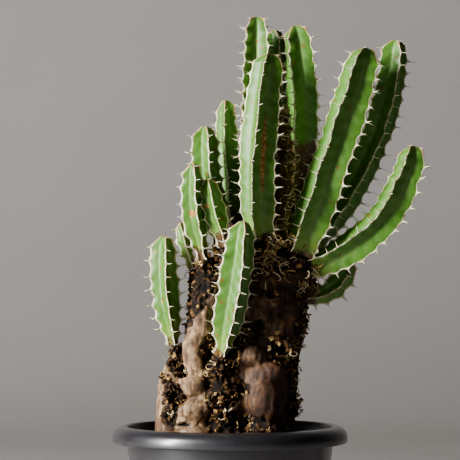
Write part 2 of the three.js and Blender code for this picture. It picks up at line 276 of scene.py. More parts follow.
def stem_skin(settings):
    """Waxy green epidermis with a horny rib margin: leathery sheen, bloom in the furrows, rusty blemishes."""
    material, add, place = new_material("waxy_epidermis")
    ridge, cushion, foot, tone, rust, creep, young = [
        add("Attribute", "Fac", attribute_name=name)
        for name in ("ridge", "cushion", "foot", "tone", "rust", "cork", "young")]
    mottle, wobble, burn, scorch, edge, grain, nibble, age = [
        add("TexNoise", Vector=place, Scale=per(size), Detail=detail, Roughness=rough)
        for size, detail, rough in ((7, 4, 0.55), (1.6, 3, 0.55), (1.4, 4, 0.7), (1.8, 4, 0.7), (5, 5, 0.65),
                                    (1.5, 5, 0.7), (0.8, 3, 0.55), (3.2, 4, 0.7))]
    tinge = add(**TIMES, i0=tone, i1=0.38)
    yellow = add(**STEP, i0=foot, i1=26, i2=4, i4=0.5)
    # Rust spots 1 to 3 mm wide, thinly strewn.
    cell = add("TexVoronoi", "Distance", Vector=place, Scale=per(13))
    cell = add(**TIMES_PLUS, i0=wobble, i1=-0.14, i2=cell)
    spot = add(**STEP, i0=cell, i1=0.1, i2=0.02, i4=0.7)
    scab = add("ValToRGB", i0=burn, stops=[(0.38, "#4d3012"), (0.5, "#a8793c"), (0.62, "#d9b578")])
    wound = add(**TIMES_PLUS, i0=scorch, i1=1.5, i2=rust)
    wound = add(**STEP, i0=wound, i1=1.2, i2=1.36)
    green = settings.deep_green
    for share, colour in ((mottle, settings.green), (tinge, settings.bloom), (yellow, "#9db858"),
                          (spot, "#7f5a26"), (wound, scab)):
        green = add(**LAYER, i0=share, i6=green, i7=colour)
    # Corky brown skin creeps up from the foot.
    above = add(**TIMES_PLUS, i0=edge, i1=-26.0, i2=foot)
    above = add("Math", operation="SUBTRACT", i0=above, i1=creep)
    cork = add(**STEP, i0=above, i1=-6.0, i2=-11.0)
    bark = add("ValToRGB", i0=grain, stops=[(0.3, "#2e2116"), (0.5, "#5e4630"), (0.72, "#9a7c58")])
    skin = add(**LAYER, i0=cork, i6=green, i7=bark)
    # The margin is horn: about 2 mm wide, wider at the spine cushions.
    width = add(**TIMES_PLUS, i0=cushion, i1=0.75, i2=settings.margin / MM)
    beyond = add(**TIMES_PLUS, i0=nibble, i1=0.7, i2=ridge)
    beyond = add("Math", operation="SUBTRACT", i0=beyond, i1=width)
    horn = add(**STEP, i0=beyond, i1=0.55, i2=0.1)
    ivory = add("ValToRGB", i0=age, stops=[(0.34, "#7d5a34"), (0.45, "#d8c9a3"), (0.56, "#f4f0d8")])
    fresh = add(**TIMES, i0=young, i1=0.7)
    ivory = add(**LAYER, i0=fresh, i6=ivory, i7="#c08a4c")
    skin = add(**LAYER, i0=horn, i6=skin, i7=ivory)
    rough = add("MapRange", i0=horn, i3=0.42, i4=0.62)
    scaly = add(**TIMES, i0=grain, i1=cork)
    relief = add(**TIMES_PLUS, i0=mottle, i1=0.35, i2=scaly)
    bump = add("Bump", Strength=0.6, Distance=0.5 * MM, Height=relief)
    shader = add("BsdfPrincipled", Base_Color=skin, Roughness=rough, Normal=bump, IOR=1.45,
                 Coat_Weight=0.08, Coat_Roughness=0.4)
    add("OutputMaterial", Surface=shader)
    return material


def spine_horn(_settings):
    """Hardened spines: dull ivory with a rusty tip."""
    material, add, place = new_material("spine_horn")
    tip = add("Attribute", "Fac", attribute_name="tip")
    aged = add("TexNoise", Vector=place, Scale=per(5), Detail=2, Roughness=0.55)
    ivory = add("ValToRGB", i0=aged, stops=[(0.3, "#b89a6a"), (0.42, "#ece3c8"), (0.7, "#f5efdc")])
    rusty = add(**STEP, i0=tip, i1=0.5, i2=0.95)
    colour = add(**LAYER, i0=rusty, i6=ivory, i7="#8a5228")
    shader = add("BsdfPrincipled", Base_Color=colour, Roughness=0.5, IOR=1.5)
    add("OutputMaterial", Surface=shader)
    return material


def bark_skin(settings):
    """Old succulent bark: silvery tan and finely grained where smooth, dark and scaly where it has shed."""
    material, add, place = new_material("corky_bark")
    pale, crust, pit, worn = [add("Attribute", "Fac", attribute_name=name)
                              for name in ("pale", "crust", "pit", "relief")]
    stretch = add("Mapping", Vector=place, Scale=(1.0, 1.0, 0.16))
    fibre, patches, speckle = [
        add("TexNoise", Vector=vector, Scale=per(size), Detail=detail, Roughness=rough)
        for vector, size, detail, rough in ((stretch, 2.3, 6, 0.68), (place, 9, 5, 0.6), (place, 1.3, 6, 0.75))]
    # The tan goes where the pale attribute says; on the brown mass that is partly painted light, on the knee and the
    # bulges of the upper bole.
    tan = add("ValToRGB", i0=patches, stops=[(0.32, "#58402f"), (0.5, "#9d7f61"), (0.68, "#d8b992")])
    cracks = add(**STEP, i0=fibre, i1=0.52, i2=0.38, i4=0.8)
    tan = add(**LAYER, i0=cracks, i6=tan, i7="#4f3727")
    bark = add("ValToRGB", i0=patches, stops=[(0.3, "#1e120b"), (0.5, "#402818"), (0.72, "#6e4626")])
    cracks = add(**STEP, i0=fibre, i1=0.52, i2=0.3, i4=0.8)
    flecks = add(**STEP, i0=speckle, i1=0.54, i2=0.68, i4=0.3)
    half = add(**TIMES, i0=worn, i1=0.5)
    scales = add(**TIMES_PLUS, i0=speckle, i1=0.55, i2=half)
    scales = add("ValToRGB", i0=scales,
                 stops=[(0.3, "#120c08"), (0.44, "#38281b"), (0.58, "#6e5030"), (0.74, "#c9a268")])
    # The near-black #0a0705 is painted shade, laid into the scar pits and the fold creases.
    for share, colour in ((cracks, "#1a110b"), (flecks, "#9b7d5c"), (pale, tan), (crust, scales), (pit, "#0a0705")):
        bark = add(**LAYER, i0=share, i6=bark, i7=colour)
    rough = add("MapRange", i0=crust, i3=0.62, i4=0.91)
    height = add(**TIMES, i0=speckle, i1=0.5)
    height = add(**TIMES_PLUS, i0=fibre, i1=0.6, i2=height)
    bump = add("Bump", Strength=settings.bump, Distance=0.9 * MM, Height=height)
    shader = add("BsdfPrincipled", Base_Color=bark, Roughness=rough, Normal=bump, IOR=1.45)
    add("OutputMaterial", Surface=shader)
    return material


def crumbly(name, stops, pore_size, pore_range, pore_colour, relief, roughness):
    """A dry matt material of many small pieces: each takes its colour from its tone and is streaked or pored."""
    material, add, place = new_material(name)
    pores = add("TexNoise", Vector=place, Scale=per(pore_size), Detail=4, Roughness=0.7)
    tone = add("Attribute", "Fac", attribute_name="tone")
    colour = add("ValToRGB", i0=tone, stops=stops)
    holes = add(**STEP, i0=pores, i1=pore_range[0], i2=pore_range[1])
    colour = add(**LAYER, i0=holes, i6=colour, i7=pore_colour)
    bump = add("Bump", Strength=relief[0], Distance=relief[1] * MM, Height=pores)
    shader = add("BsdfPrincipled", Base_Color=colour, Roughness=roughness, Normal=bump, IOR=1.45)
    add("OutputMaterial", Surface=shader)
    return material


def flake_bark(_settings):
    """Dry shed bark and withered curls: golden straw to burnt brown, each piece its own tone."""
    stops = [(0.0, "#1c130d"), (0.3, "#4f3722"), (0.55, "#99703c"), (0.8, "#dcb878"), (1.0, "#f0e0ba")]
    return crumbly("dry_bark_flake", stops, 1.1, (0.53, 0.35), "#3a281a", (0.6, 0.25), 0.75)


def grit_stone(_settings):
    """Pumice, baked clay and lava grit: porous, each grain its own tone."""
    stops = [(0.0, "#231a15"), (0.3, "#5d3a28"), (0.5, "#b07a3e"), (0.7, "#c9b48c"), (1.0, "#d9d2c2")]
    return crumbly("pumice_and_clay_grit", stops, 0.8, (0.5, 0.3), "#4b3b2d", (0.7, 0.3), 0.9)


def soil_mix(_settings):
    """Gritty cactus mix, slightly moist: dark humus between mineral crumbs."""
    material, add, place = new_material("gritty_potting_mix")
    crumbs = add("TexNoise", Vector=place, Scale=per(2.2), Detail=6, Roughness=0.75)
    colour = add("ValToRGB", i0=crumbs, stops=[(0.3, "#17110c"), (0.5, "#3a2b1f"), (0.7, "#6b543e")])
    bump = add("Bump", Strength=0.8, Distance=1.2 * MM, Height=crumbs)
    shader = add("BsdfPrincipled", Base_Color=colour, Roughness=0.95, Normal=bump, IOR=1.4)
    add("OutputMaterial", Surface=shader)
    return material


def studio_floor(_settings):
    """Matt painted board, pale and plain."""
    material, add, place = new_material("matt_painted_board")
    shade = add("TexNoise", Vector=place, Scale=per(400), Detail=2, Roughness=0.55)
    colour = add(**LAYER, i0=shade, i6="#b4b0ab", i7="#bab7b3")
    shader = add("BsdfPrincipled", Base_Color=colour, Roughness=0.9, IOR=1.45)
    add("OutputMaterial", Surface=shader)
    return material


# --- Stems ---------------------------------------------------------------------------------------

# How far corky skin has crept up from the foot of a stem, in millimetres beyond the usual.
CORK = {"stem_centre_right": 72, "stem_left_middle": 6, "stem_left_inner": 8, "stem_right_low": 5,
        "stem_left_rear": 20}
LITTERED = 15  # Stems with more cork than this carry dry litter.

# Healed wounds on the front of the stems: (offset to the right, height above the floor, radius).
WOUNDS = {
    "stem_left_tall": [(-27, 352, 2.6)],
    "stem_left_middle": [(-28.5, 316.5, 3), (-36, 300, 1.6)],
    "stem_left_inner": [(-17.7, 322, 2.2)],
    "stem_front_low": [(-13, 237, 1.4), (-10, 225, 1)],
    "stem_tallest": [(21, 452, 1.3)],
    "stem_left_low": [(-57, 287, 1.2), (-52, 250, 1.1)],
    "stem_right_broad": [(64, 380, 1.5)],
    "stem_right_arching": [(118, 330, 1.4)],
    "stem_centre_front": [(12, 330, 1.2)],
}
SPLIT_STEM = "stem_centre_front"
FACETS = 16  # round a stem, for each of its ribs
BROKEN = 0.08  # share of the spines that are lost


class StemAxis:
    """The centreline, thickness and rib directions of a stem, measured on slices of its CAD solid."""

    SLICES = 26
    PASSES = 3
    FEWEST = 5  # A slice with no more points than this says nothing about the centre.
    KEENNESS = 8  # how strongly the farthest points of a slice decide where the ribs are
    TINY = 1e-12  # keeps an empty slice from dividing by nothing; it also lets thick slices count for more

    def __init__(self, node):
        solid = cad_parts[node]
        points = coordinates(solid)
        edges = np.array([edge.vertices[:] for edge in solid.data.edges])
        middle = points.mean(0)
        heading = np.linalg.svd(points - middle, full_matrices=False)[2][0]
        heading *= np.sign(heading[2])
        reach = (points - middle) @ heading
        self.lines = np.array([heading * np.ptp(reach), middle + heading * reach.min()]).T
        self.lines = np.insert(self.lines, 0, 0, axis=1)
        for _ in range(self.PASSES):
            centres, shares = [], []
            for share in np.linspace(0.05, 0.95, self.SLICES):
                cut = self.cut(points, edges, share)
                if len(cut) > self.FEWEST:
                    centres.append(self.centroid(cut, share))
                    shares.append(share)
            self.lines = np.polyfit(shares, np.array(centres), 2).T
            self.stretch_to(points)
        self.length = np.linalg.norm(np.diff(self.at(np.linspace(0, 1, 60)), axis=0), axis=1).sum()
        self.measure_ribs(points, edges)

    def at(self, shares):
        return np.array([np.polyval(line, shares) for line in self.lines]).T

    def along(self, shares):
        slopes = np.array([np.polyval(np.polyder(line), shares) for line in self.lines]).T
        return slopes / np.linalg.norm(slopes, axis=-1, keepdims=True)

    def frames(self, shares):
        """At each share: the way along the stem, the way to its front and the way to its side."""
        along = self.along(shares)
        front = np.array(FRONT) - along * (along @ np.array(FRONT))[:, None]
        front /= np.linalg.norm(front, axis=1, keepdims=True)
        return along, front, np.cross(along, front)

    def cut(self, points, edges, share):
        centre, normal = self.at([share])[0], self.along([share])[0]
        side = (points - centre) @ normal
        first, last = edges.T
        crossing = side[first] * side[last] < 0
        first, last = first[crossing], last[crossing]
        part = side[first] / (side[first] - side[last])
        return points[first] + part[:, None] * (points[last] - points[first])

    def in_plane(self, cut, share):
        _, front, side = self.frames(np.array([share]))
        offset = cut - self.at([share])[0]
        return offset @ front[0], offset @ side[0]

    def centroid(self, cut, share):
        u, v = self.in_plane(cut, share)
        order = np.argsort(np.arctan2(v - v.mean(), u - u.mean()))
        u, v = u[order], v[order]
        cross = u * np.roll(v, -1) - np.roll(u, -1) * v
        area = cross.sum() / 2
        ahead, aside = (((w + np.roll(w, -1)) * cross).sum() / (6 * area) for w in (u, v))
        _, front, side = self.frames(np.array([share]))
        return self.at([share])[0] + ahead * front[0] + aside * side[0]

    def stretch_to(self, points):
        """Moves share 0 and share 1 to the ends of the solid."""
        start, end = self.at([0.0, 1.0])
        at_start, at_end = self.along(np.array([0.0, 1.0]))
        span = np.linalg.norm(end - start)
        low = ((points - start) @ at_start).min() / span
        high = 1 + ((points - end) @ at_end).max() / span
        fresh = np.linspace(low, high, 12)
        self.lines = np.polyfit(np.linspace(0, 1, 12), self.at(fresh), 2).T

    def measure_ribs(self, points, edges):
        shares = np.linspace(0.04, 0.96, 2 * self.SLICES)
        radii, lean = [], 0j
        for share in shares:
            u, v = self.in_plane(self.cut(points, edges, share), share)
            reach = np.hypot(u, v)
            radii.append(reach.max() if len(reach) else 0)
            pull = reach ** self.KEENNESS * np.exp(1j * RIBS * np.arctan2(v, u))
            lean += pull.sum() / (radii[-1] ** self.KEENNESS + self.TINY)
        self.turn = np.angle(lean) / RIBS
        self.shares, self.crests = shares, radii
        for half, blend in ((2, np.max), (3, np.mean)):
            padded = np.pad(self.crests, half, mode="edge")
            self.crests = blend([padded[i:i + len(shares)] for i in range(2 * half + 1)], axis=0)

    def radius(self, shares):
        return np.interp(shares, self.shares, self.crests)


def sway(generator):
    """A smooth random curve over shares of 0 to 1, about -1 to 1."""
    waves = [(generator.uniform(1, 5), generator.uniform(0, math.tau), generator.uniform(0.3, 0.6))
             for _ in range(3)]
    return lambda share: sum(size * np.sin(pace * math.pi * share + start) for pace, start, size in waves)


class Stem:
    """One ribbed stem: where its ridges run, its skin and its spines."""

    BEAD_WIDTH = 0.06  # of the horny bead, as a share of the way from a ridge to the furrow
    SWELL_TURN = 1.15  # radians between the ways a ridge and its flanks face
    PILLOW, PILLOW_DIP = 0.022, 0.02  # swelling of the flanks, even and between the cushions, in radii
    SPINED = (0.05, 0.995)  # shares of the stem between which cushions bear spines

    def __init__(self, node, settings):
        self.node = node
        self.axis = StemAxis(node)
        self.settings = settings
        seed = random.Random(node)
        self.teeth = max(3, round(self.axis.length / settings.tooth_pitch))
        self.phases = [(0.25 * rib + seed.uniform(-0.1, 0.1)) % 1 for rib in range(RIBS)]
        self.sways, self.reaches = ([sway(seed) for _ in range(RIBS)] for _ in range(2))
        count = self.teeth + 3
        self.cushions = [[(i - phase + seed.uniform(-0.16, 0.16)) / self.teeth for i in range(count)]
                         for phase in self.phases]
        self.kinks, self.dips = ([[seed.uniform(*span) for _ in range(count)] for _ in range(RIBS)]
                                 for span in ((-1, 1), (0.55, 1.25)))
        self.dead = node == DEAD_STEM

    def cushion_count(self, rib, shares):
        """How many spine cushions lie below a place on a ridge; the fraction is the way to the next one."""
        return np.interp(shares, self.cushions[rib], np.arange(len(self.cushions[rib])))

    def dip(self, rib, shares):
        count = self.cushion_count(rib, shares)
        return np.sin(math.pi * (count % 1)) ** 0.9 * np.array(self.dips[rib])[count.astype(int)]

    def envelope(self, shares):
        """The ridges' distance from the axis: the measured thickness, rounded off at the tip."""
        radius = self.axis.radius(shares)
        left = (1 - shares) * self.axis.length
        dome = np.clip(left / (0.95 * self.axis.radius(np.array([0.9]))[0]), 0, 1)
        return radius * np.sqrt(np.clip(1 - (1 - dome) ** 2.2, 0, 1))

    def ridge(self, rib, shares):
        """Distance and angle of a ridge round the axis."""
        rise = self.settings.tooth_rise * (1.25 if self.dead else 1)
        radius = self.envelope(shares)
        fade = np.clip(radius / (6 * MM), 0, 1)
        out = radius * (1 + 0.025 * self.reaches[rib](shares)) - rise * fade * self.dip(rib, shares)
        kink = np.interp(shares, self.cushions[rib], self.kinks[rib])
        kink = kink * self.settings.kink / np.maximum(radius, 4 * MM)
        angle = self.axis.turn + rib * math.tau / RIBS + 0.05 * self.sways[rib](shares) + kink
        return np.maximum(out, 0.0), angle

    def build(self):
        """The skin starts as a sphere whose rings become the stem's cross-sections."""
        s = self.settings
        rings = max(60, round(self.axis.length / s.ring_step))
        obj = primitive("uv_sphere", segments=RIBS * FACETS, ring_count=rings, radius=1)
        obj.name = obj.data.name = self.node + "_skin"
        unit = coordinates(obj)
        level = 1 - np.arccos(np.clip(unit[:, 2], -1, 1)) / math.pi
        shares = level - 0.1 * np.sin(math.tau * level)
        turn = np.arctan2(unit[:, 1], unit[:, 0])
        pole = np.abs(unit[:, 2]) > 0.999999
        rib = np.round(turn / (math.tau / RIBS)).astype(int)
        flank = turn / (math.tau / RIBS) - rib
        rib %= RIBS
        across = (np.abs(flank) * 2) ** 1.5
        way = np.sign(flank)
        places = np.zeros_like(unit)
        distance, cushion = np.zeros((2, len(unit)))
        _, front, side = self.axis.frames(shares)
        centre = self.axis.at(shares)
        radius = self.envelope(shares)
        for k in range(RIBS):
            mine = rib == k
            out, angle = self.ridge(k, shares[mine])
            phase = self.cushion_count(k, shares[mine]) % 1
            close = np.maximum(smoothstep(0.22, 0.0, phase), smoothstep(0.78, 1.0, phase))
            bead = s.bead * np.exp(-(across[mine] / self.BEAD_WIDTH) ** 2) * (0.5 + 0.7 * close)
            bead = bead * np.clip(radius[mine] / (5 * MM), 0, 1)
            ridge = np.array([np.cos(angle), np.sin(angle)]) * (out + bead)
            corner = self.axis.turn + (k + 0.5 * way[mine]) * math.tau / RIBS
            depth = s.furrow * radius[mine] * (1 + 0.03 * self.reaches[k](shares[mine]))
            furrow = np.array([np.cos(corner), np.sin(corner)]) * depth
            section = ridge + (furrow - ridge) * across[mine]
            facing = angle + self.SWELL_TURN * way[mine]
            swell = np.sin(math.pi * np.clip(across[mine], 0, 1)) ** 0.8
            pillow = self.PILLOW + self.PILLOW_DIP * self.dip(k, shares[mine])
            section = section + np.array([np.cos(facing), np.sin(facing)]) * swell * pillow * radius[mine]
            places[mine] = centre[mine] + front[mine] * section[0][:, None] + side[mine] * section[1][:, None]
            distance[mine] = across[mine] * np.linalg.norm(furrow - ridge, axis=0) / MM
            cushion[mine] = close
        places[pole] = centre[pole]
        set_coordinates(obj, places)
        set_attributes(obj, ridge=distance, cushion=cushion, foot=shares * self.axis.length / MM,
                       tone=self.bloom(shares, across, rib), cork=np.full(len(unit), CORK.get(self.node, 0)),
                       young=smoothstep(14 * MM, 2 * MM, (1 - shares) * self.axis.length),
                       rust=self.blemishes(places, shares, across, rib, way))
        smooth_shade(obj)
        return obj

    def bloom(self, shares, across, rib):
        """Waxy bloom: in the furrows, with streaks that slant up from them to the cushions."""
        phase = self.teeth * shares + np.array(self.phases)[rib] - 0.8 * across
        streaks = 0.5 + 0.5 * np.sin(math.tau * phase)
        furrow = smoothstep(0.55, 1.0, across) * (0.55 + 0.45 * np.sin(9 * shares + rib))
        return np.clip(furrow + 0.45 * streaks ** 3 * smoothstep(0.1, 0.5, across), 0, 1)

    def blemishes(self, places, shares, across, rib, way):
        """Healed wounds: round ones at set places on the front, and a split down one furrow."""
        rust = np.zeros(len(places))
        for x, z, radius in WOUNDS.get(self.node, ()):
            reach = np.hypot(places[:, 0] - x * MM, places[:, 2] - z * MM) / (radius * MM)
            rust = np.maximum(rust, smoothstep(1.5, 0.4, reach) * (places[:, 1] < self.axis.at(shares)[:, 1]))
        if self.node == SPLIT_STEM:
            corner = self.axis.turn + (rib + 0.5 * way) * math.tau / RIBS
            along = smoothstep(0.08, 0.4, shares) * smoothstep(0.82, 0.5, shares)
            rust = np.maximum(rust, smoothstep(0.66, 0.92, across) * along * (np.cos(corner - 0.6) > 0.75))
        return rust

    def spines(self, shape, generator):
        """Pairs of spines on every cushion, spread to both sides of the ridge."""
        places = []
        for rib in range(RIBS):
            for share in self.cushions[rib]:
                if not self.SPINED[0] < share < self.SPINED[1]:
                    continue
                shares = np.array([share])
                out, angle = self.ridge(rib, shares)
                along, front, side = (v[0] for v in self.axis.frames(shares))
                outward = front * math.cos(angle[0]) + side * math.sin(angle[0])
                sideways = -front * math.sin(angle[0]) + side * math.cos(angle[0])
                base = self.axis.at(shares)[0] + outward * out[0]
                size = self.settings.spine_length * generator.uniform(0.75, 1.2)
                size *= min(1, 0.55 + out[0] / (26 * MM))
                for way in (-1, 1):
                    if generator.random() < BROKEN:
                        continue
                    point = outward * generator.uniform(0.75, 1) + sideways * way * generator.uniform(0.5, 0.95)
                    point = point + along * generator.uniform(-0.1, 0.3)
                    turn = UP.rotation_difference(Vector(point)).to_matrix()
                    spin = Matrix.Rotation(generator.uniform(0, math.tau), 3, "Z")
                    places.append((np.array(turn @ spin) * size, base - outward * 0.25 * MM))
        obj = scatter(self.node + "_spines", shape, places)
        set_attributes(obj, tip=np.tile(shape[0][:, 2], len(places)))
        return obj


def spine_template(settings):
    """One spine of unit length: a slender six-sided cone, broad at its foot and a little curved."""
    cone = primitive("cone", vertices=6, radius1=settings.spine_width / 2 / settings.spine_length, radius2=0,
                     depth=1, location=(0, 0, 0.5))
    bpy.ops.object.transform_apply(location=True)
    edit_mesh(*(("bisect", {"plane_co": (0, 0, height), "plane_no": (0, 0, 1)}) for height in (0.22, 0.6)))
    points, faces = shape_of(cone)
    slim = 1 - 0.45 * np.sin(math.pi * np.clip(points[:, 2], 0, 1)) ** 1.2
    points[:, :2] *= slim[:, None]
    points[:, 0] += 0.12 * points[:, 2] ** 2
    return points, faces


# --- Trunk ---------------------------------------------------------------------------------------

RAY_START = 300 * MM  # farther out than any part of the trunk


def outward_from(bearing):
    angle = math.radians(bearing)
    return Vector((math.sin(angle), -math.cos(angle), 0)), Vector((math.cos(angle), math.sin(angle), 0))


def surface_from(tree, bearing, offset, height):
    """Where a level ray meets the trunk: bearing 0 is the front and 90 the right, in millimetres."""
    outward, sideways = outward_from(bearing)
    start = outward * RAY_START + sideways * offset * MM
    start.z = SOIL_TOP + height * MM
    place, normal, _, _ = tree.ray_cast(start, -outward)
    if place is None:
        raise ValueError(f"no trunk at bearing {bearing}, offset {offset}, height {height}")
    return place, normal


# By the bearing they are seen from, 0 the front and 90 the right, all in millimetres.
# Swellings: (offset, height above the soil, half width, half depth, half height, sink).
SWELLINGS = {
    0: [
        (-28, 52, 10, 8, 9, 2), (-26, 33, 13, 8, 9, 2), (-25, 12, 15, 9, 11, 4), (-31, 22, 13, 7, 10, 2),
        (-27, 76, 9, 7, 20, 2), (-21.5, 97, 8, 7, 20, 2), (-15, 116, 8, 7, 18, 3), (-44, 22, 10, 8, 18, 3),
        (-43, 56, 9, 7, 8, 2), (26, 40, 13, 8, 17, 3), (27, 20, 12, 7, 12, 3), (16, 74, 13, 9, 9, 1),
        (32, 62, 8, 5, 7, 2), (31, 118, 7, 5, 5, 1), (29, 128, 6, 5, 4, 1), (34, 97, 10, 6, 10, 3),
        (45, 108, 8, 6, 13, 3), (-5, 28, 11, 7, 12, 4), (3, 10, 16, 7, 8, 3), (38, 162, 7, 6, 8, 1),
        (20, 140, 12, 7, 8, 3), (44, 30, 7, 7, 14, 4), (8, 118, 8, 5, 10, 3), (20, 106, 7, 5, 7, 2),
        (6, 96, 7, 5, 6, 2), (22, 155, 9, 6, 7, 2), (2, 148, 8, 6, 9, 2), (44, 136, 8, 6, 10, 2),
    ],
    90: [
        (2, 40, 14, 9, 22, 8), (-14, 80, 10, 8, 14, 5), (12, 96, 11, 8, 16, 3), (0, 130, 14, 8, 12, 3),
    ],
    180: [
        (-20, 40, 15, 9, 22, 4), (8, 24, 12, 8, 16, 4), (26, 50, 12, 8, 20, 3), (-28, 90, 13, 8, 18, 4),
        (-6, 84, 14, 8, 16, 4), (-22, 132, 13, 8, 14, 3), (20, 110, 10, 8, 20, 3),
    ],
    270: [
        (-4, 24, 12, 8, 16, 6), (6, 50, 9, 7, 12, 6),
    ],
}
# Scars of shed stems: (offset, height above the soil, radius, depth, width to height).
SCARS = {
    0: [
        (-43, 67, 5.4, 0.85, 1), (-44.5, 44, 5.6, 0.5, 1), (-33.5, 60, 3, 0.5, 1), (-35, 23, 3.6, 1, 2.4),
        (-9, 39, 5.2, 0.9, 1), (1, 65, 4, 0.8, 1), (-8, 68, 3.6, 0.6, 1.2), (-6.5, 27, 4.2, 0.5, 1.4),
        (38.5, 79, 6.2, 0.9, 1), (9, 90, 5, 0.9, 1.3), (32, 122, 3, 0.4, 1), (22, 98, 3.2, 0.5, 1),
        (47, 155, 4.2, 0.8, 1), (49, 64, 4.2, 0.7, 1), (47, 40, 4.8, 0.7, 1), (-47.5, 30, 3.8, 0.5, 1),
        (12, 22, 4.2, 0.6, 1.2), (24, 17, 3.6, 0.5, 1.2), (-48, 55, 3.2, 0.4, 1), (8, 50, 3.8, 0.6, 1),
        (18, 134, 4, 0.7, 1), (0, 136, 4, 0.6, 1), (32, 146, 4, 0.7, 1),
    ],
    90: [
        (6, 34, 6, 0.9, 1), (-8, 62, 5.4, 0.8, 1), (12, 76, 4.6, 0.7, 1), (-4, 102, 5.4, 0.9, 1),
        (-18, 26, 4.6, 0.6, 1), (14, 118, 4.2, 0.6, 1),
    ],
    180: [
        (-10, 30, 6, 0.9, 1), (-22, 58, 5.4, 0.8, 1), (-30, 100, 5.8, 0.9, 1), (20, 66, 5.4, 0.7, 1),
        (2, 96, 5, 0.8, 1), (-8, 128, 4.6, 0.7, 1), (-34, 34, 4.6, 0.6, 1.3), (34, 24, 5, 0.7, 1),
    ],
    226: [
        (2, 30, 5.8, 0.8, 1),
    ],
    222: [
        (-2, 60, 4.6, 0.7, 1),
    ],
    230: [
        (4, 90, 4.6, 0.7, 1),
    ],
}
FOLD = 2  # A scar wider than this many times its height is a bare fold in the bark.

# Seen from the front, by the offset to the right and the height above the soil.
# Crusted bark, and pale patches on the brown mass: (offset, height, half width, half height, strength). The patches
# on the knee and the upper bole are painted light on those bulges; the crown's cream knob is the bark's own colour.
CRUST = [
    (-2, 56, 11, 24, 1), (-14.5, 62, 6, 18, 0.75), (-5, 24, 12, 13, 1), (14, 20, 17, 9, 1),
    (-45, 41, 7, 12, 0.9), (-46, 26, 6, 9, 0.7), (-42, 67, 6, 6, 0.7), (39, 79, 11, 11, 0.9),
    (49, 38, 6, 16, 0.8), (53, 92, 5, 12, 0.8), (54, 122, 5, 10, 0.8), (14, 92, 13, 8, 0.6),
    (15, 150, 34, 18, 1), (44, 150, 12, 16, 0.8), (-33, 112, 7, 18, 0.9), (-22, 142, 14, 14, 1),
    (8, 126, 12, 12, 0.7), (-8, 92, 6, 14, 0.6), (36, 8, 12, 6, 0.8),
]
PALE_AND_LIT = [
    (13, 54, 8, 15, 0.3), (17, 74, 11, 8, 0.35), (31, 117, 7, 7, 0.5), (29, 129, 7, 7, 0.45),
    (30, 98, 13, 8, 0.3), (38, 164, 8, 9, 1), (20, 112, 9, 10, 0.35),
]
# Large flakes set one by one: (offset, height, length, turn in degrees, tone).
FLAKES = [
    (31, 88, 9, 60, 0.85), (29.5, 80, 8, 80, 0.9), (29.5, 73, 7, 10, 0.85), (36, 92, 7, 130, 0.7),
    (46, 84, 6, 250, 0.6), (41, 69, 7, 340, 0.55), (49, 76, 5, 290, 0.7), (38, 160, 10, 20, 0.85),
    (35, 156, 7, 300, 0.95), (42, 158, 7, 100, 0.8), (22, 154, 6, 60, 0.8), (14, 150, 7, 200, 0.7),
    (28, 155, 6, 120, 0.9), (10, 146, 7, 30, 0.75), (18, 150, 6, 330, 0.85), (33, 152, 7, 80, 0.7),
    (-7, 40, 6, 200, 0.9), (-4, 33, 7, 330, 0.95), (-11, 46, 5, 90, 0.85), (1, 44, 5, 20, 0.8),
    (12, 30, 6, 160, 0.8), (24, 12, 7, 40, 0.85), (18, 8, 6, 120, 0.75), (30, 10, 6, 300, 0.8),
    (4, 70, 5, 240, 0.9), (-3, 76, 5, 100, 0.8),
]


def add_swelling(tree, bearing, offset, height, wide, deep, tall, sink):
    place, _ = surface_from(tree, bearing, offset, height)
    outward, sideways = outward_from(bearing)
    lump = primitive("ico_sphere", subdivisions=3, radius=1)
    turn = Matrix([sideways * wide * MM, -outward * deep * MM, UP * tall * MM]).transposed()
    lump.data.transform(Matrix.Translation(place - outward * sink * MM) @ turn.to_4x4())
    return lump


